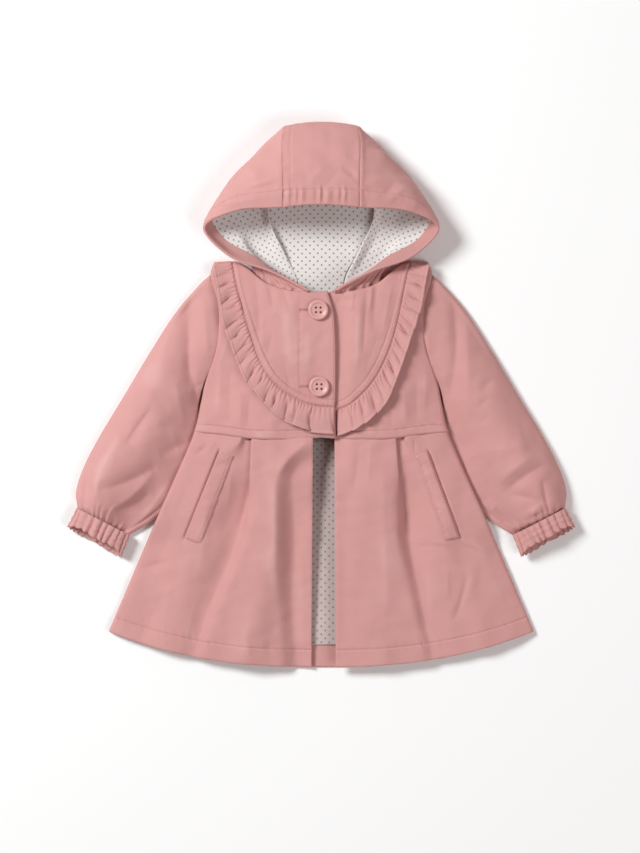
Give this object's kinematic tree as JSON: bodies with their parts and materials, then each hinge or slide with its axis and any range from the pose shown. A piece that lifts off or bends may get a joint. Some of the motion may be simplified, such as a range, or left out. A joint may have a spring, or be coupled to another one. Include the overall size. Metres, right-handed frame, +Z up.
{
  "type": "toddler's hooded coat",
  "caption": "Toddler's hooded A-line coat in pink twill, lying flat: ruffle round a U-shaped yoke, pleated skirt, welt pockets, gathered cuffs and a dotted lining.",
  "frame": {"origin": "centre of the coat's outline, on the surface that it lies on", "axes": "+X to the wearer's left (the viewer's right), +Y from the hem towards the hood, +Z up out of the front"},
  "size_m": [0.508, 0.5451, 0.0559],
  "materials": {
    "twill": "brushed cotton twill, dusty pink",
    "lining": "fine plain weave, off-white with small dots",
    "button": "satin, peach pink"
  },
  "bodies": {
    "root": {"bodice_back": "twill", "bodice_front_left": "twill", "bodice_front_right": "twill", "button_lower": "button", "button_upper": "button", "cuff_left": "twill", "cuff_right": "twill", "hood_centre": "twill", "hood_lining_centre": "lining", "hood_lining_left": "lining", "hood_lining_right": "lining", "hood_side_left": "twill", "hood_side_right": "twill", "pocket_welt_left": "twill", "pocket_welt_right": "twill", "ruffle_left": "twill", "ruffle_right": "twill", "skirt_back": "twill", "skirt_back_lining": "lining", "skirt_front_left": "twill", "skirt_front_right": "twill", "sleeve_left": "twill", "sleeve_right": "twill", "yoke_left": "twill", "yoke_right": "twill"}
  },
  "joints": []
}
